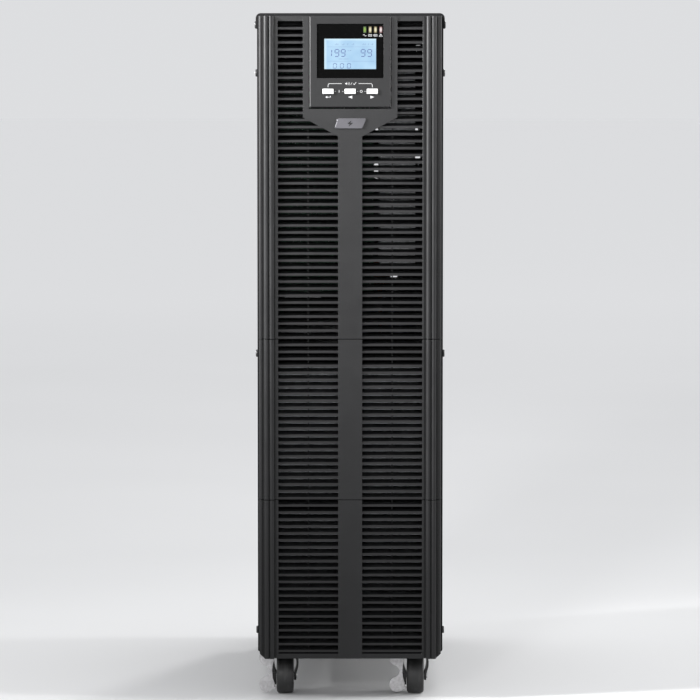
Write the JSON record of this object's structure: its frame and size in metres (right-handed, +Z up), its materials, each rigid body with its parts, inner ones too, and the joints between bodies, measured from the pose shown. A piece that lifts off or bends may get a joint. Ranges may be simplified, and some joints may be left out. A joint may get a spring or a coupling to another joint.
{
  "type": "uninterruptible power supply",
  "caption": "Tall black tower UPS with louvred three-part front, display and keys at the top, slide-out battery trays, rear fans and terminals, on swivel casters with foot brakes.",
  "frame": {"origin": "on the floor under the middle of the bounding box", "axes": "+Z up; the front with the display faces -Y; +X is to the right seen from the front"},
  "size_m": [0.1912, 0.442, 0.688],
  "materials": {
    "cabinet_steel": "matte",
    "bezel_plastic": "satin",
    "fascia_plastic": "satin",
    "window_black": "gloss",
    "lcd_face": "satin",
    "lens_clear": "gloss",
    "circuit_board": "satin",
    "badge_silver": "satin",
    "key_white": "satin",
    "galvanised_steel": "satin",
    "battery_case": "matte",
    "copper_link": "satin",
    "heatsink_aluminium": "matte",
    "capacitor_sleeve": "satin",
    "copper_winding": "satin",
    "fan_black": "satin",
    "guard_wire": "polished",
    "breaker_grey": "satin",
    "toggle_black": "satin",
    "terminal_plastic": "satin",
    "grommet_rubber": "matte",
    "port_metal": "satin",
    "screw_black": "satin",
    "fork_black": "satin",
    "wheel_rubber": "satin",
    "pin_steel": "satin",
    "lever_zinc": "matte"
  },
  "bodies": {
    "cabinet": {"base_pan": "cabinet_steel", "rear_panel": "cabinet_steel", "side_panel_left": "cabinet_steel", "side_panel_right": "cabinet_steel", "top_cover": "cabinet_steel", "front_frame": "cabinet_steel", "battery_shelf": "galvanised_steel", "electronics_deck": "galvanised_steel", "bezel_top": "bezel_plastic", "control_fascia": "fascia_plastic", "display_window": "window_black", "lcd_module": "lcd_face", "indicator_lenses": "lens_clear", "display_board": "circuit_board", "badge_plate": "badge_silver", "main_board": "circuit_board", "heatsinks": "heatsink_aluminium", "capacitors": "capacitor_sleeve", "inductors": "copper_winding", "fan_frames": "fan_black", "fan_guards": "guard_wire", "breaker_body": "breaker_grey", "terminal_block": "terminal_plastic", "terminal_cover": "cabinet_steel", "cable_grommets": "grommet_rubber", "slot_cover": "cabinet_steel", "serial_port": "port_metal", "usb_port": "port_metal", "panel_screws": "screw_black", "caster_plates": "fork_black", "caster_screws": "pin_steel", "caster_kingpins": "pin_steel"},
    "bezel_middle": {"bezel_middle": "bezel_plastic"},
    "bezel_bottom": {"bezel_bottom": "bezel_plastic"},
    "battery_drawer_upper": {"battery_tray_upper": "galvanised_steel", "batteries_upper": "battery_case", "battery_links_upper": "copper_link"},
    "battery_drawer_lower": {"battery_tray_lower": "galvanised_steel", "batteries_lower": "battery_case", "battery_links_lower": "copper_link"},
    "button_enter": {"button_enter": "key_white"},
    "button_left": {"button_left": "key_white"},
    "button_right": {"button_right": "key_white"},
    "fan_rotor_left": {"fan_rotor_left": "fan_black"},
    "fan_rotor_right": {"fan_rotor_right": "fan_black"},
    "breaker_toggle": {"breaker_toggle": "toggle_black"},
    "caster_front_left": {"caster_fork_front_left": "fork_black", "caster_axle_front_left": "pin_steel"},
    "wheel_front_left": {"caster_wheel_front_left": "wheel_rubber"},
    "caster_front_right": {"caster_fork_front_right": "fork_black", "caster_axle_front_right": "pin_steel"},
    "wheel_front_right": {"caster_wheel_front_right": "wheel_rubber"},
    "caster_rear_left": {"caster_fork_rear_left": "fork_black", "caster_axle_rear_left": "pin_steel"},
    "wheel_rear_left": {"caster_wheel_rear_left": "wheel_rubber"},
    "caster_rear_right": {"caster_fork_rear_right": "fork_black", "caster_axle_rear_right": "pin_steel"},
    "wheel_rear_right": {"caster_wheel_rear_right": "wheel_rubber"},
    "brake_front_left": {"brake_lever_front_left": "lever_zinc"},
    "brake_front_right": {"brake_lever_front_right": "lever_zinc"}
  },
  "joints": [
    {"name": "button_enter_press", "type": "slide", "parent": "cabinet", "child": "button_enter", "axis": [0, 1, 0], "range_m": [0, 0.0012], "stiffness_N_per_m": 1500, "springref_m": -0.0003},
    {"name": "button_left_press", "type": "slide", "parent": "cabinet", "child": "button_left", "axis": [0, 1, 0], "range_m": [0, 0.0012], "stiffness_N_per_m": 1500, "springref_m": -0.0003},
    {"name": "button_right_press", "type": "slide", "parent": "cabinet", "child": "button_right", "axis": [0, 1, 0], "range_m": [0, 0.0012], "stiffness_N_per_m": 1500, "springref_m": -0.0003},
    {"name": "caster_swivel_front_left", "type": "hinge", "parent": "cabinet", "child": "caster_front_left", "pos_m": [-0.066, -0.162, 0.045], "axis": [0, 0, 1], "continuous": true},
    {"name": "wheel_roll_front_left", "type": "hinge", "parent": "caster_front_left", "child": "wheel_front_left", "pos_m": [-0.066, -0.176, 0.019], "axis": [1, 0, 0], "continuous": true},
    {"name": "caster_swivel_front_right", "type": "hinge", "parent": "cabinet", "child": "caster_front_right", "pos_m": [0.066, -0.162, 0.045], "axis": [0, 0, 1], "continuous": true},
    {"name": "wheel_roll_front_right", "type": "hinge", "parent": "caster_front_right", "child": "wheel_front_right", "pos_m": [0.066, -0.176, 0.019], "axis": [1, 0, 0], "continuous": true},
    {"name": "caster_swivel_rear_left", "type": "hinge", "parent": "cabinet", "child": "caster_rear_left", "pos_m": [-0.066, 0.162, 0.045], "axis": [0, 0, 1], "continuous": true},
    {"name": "wheel_roll_rear_left", "type": "hinge", "parent": "caster_rear_left", "child": "wheel_rear_left", "pos_m": [-0.066, 0.176, 0.019], "axis": [1, 0, 0], "continuous": true},
    {"name": "caster_swivel_rear_right", "type": "hinge", "parent": "cabinet", "child": "caster_rear_right", "pos_m": [0.066, 0.162, 0.045], "axis": [0, 0, 1], "continuous": true},
    {"name": "wheel_roll_rear_right", "type": "hinge", "parent": "caster_rear_right", "child": "wheel_rear_right", "pos_m": [0.066, 0.176, 0.019], "axis": [1, 0, 0], "continuous": true},
    {"name": "brake_release_front_left", "type": "hinge", "parent": "caster_front_left", "child": "brake_front_left", "pos_m": [-0.0806, -0.1834, 0.0235], "axis": [0, 1, 0], "range_deg": [0, 10]},
    {"name": "brake_release_front_right", "type": "hinge", "parent": "caster_front_right", "child": "brake_front_right", "pos_m": [0.0514, -0.1834, 0.0235], "axis": [0, 1, 0], "range_deg": [0, 10]},
    {"name": "fan_spin_left", "type": "hinge", "parent": "cabinet", "child": "fan_rotor_left", "pos_m": [-0.043, 0.2, 0.545], "axis": [0, 1, 0], "continuous": true},
    {"name": "fan_spin_right", "type": "hinge", "parent": "cabinet", "child": "fan_rotor_right", "pos_m": [0.043, 0.2, 0.545], "axis": [0, 1, 0], "continuous": true},
    {"name": "breaker_switch", "type": "hinge", "parent": "cabinet", "child": "breaker_toggle", "pos_m": [0.045, 0.213, 0.48], "axis": [1, 0, 0], "range_deg": [-50, 0]},
    {"name": "battery_slide_upper", "type": "slide", "parent": "cabinet", "child": "battery_drawer_upper", "axis": [0, -1, 0], "range_m": [0, 0.26]},
    {"name": "bezel_middle_pull", "type": "slide", "parent": "cabinet", "child": "bezel_middle", "axis": [0, -1, 0], "range_m": [0, 0.3]},
    {"name": "battery_slide_lower", "type": "slide", "parent": "cabinet", "child": "battery_drawer_lower", "axis": [0, -1, 0], "range_m": [0, 0.26]},
    {"name": "bezel_bottom_pull", "type": "slide", "parent": "cabinet", "child": "bezel_bottom", "axis": [0, -1, 0], "range_m": [0, 0.3]}
  ],
  "couplings": [
    {"joint": "bezel_middle_pull", "follows": "battery_slide_upper", "ratio": 1.15},
    {"joint": "bezel_bottom_pull", "follows": "battery_slide_lower", "ratio": 1.15}
  ]
}
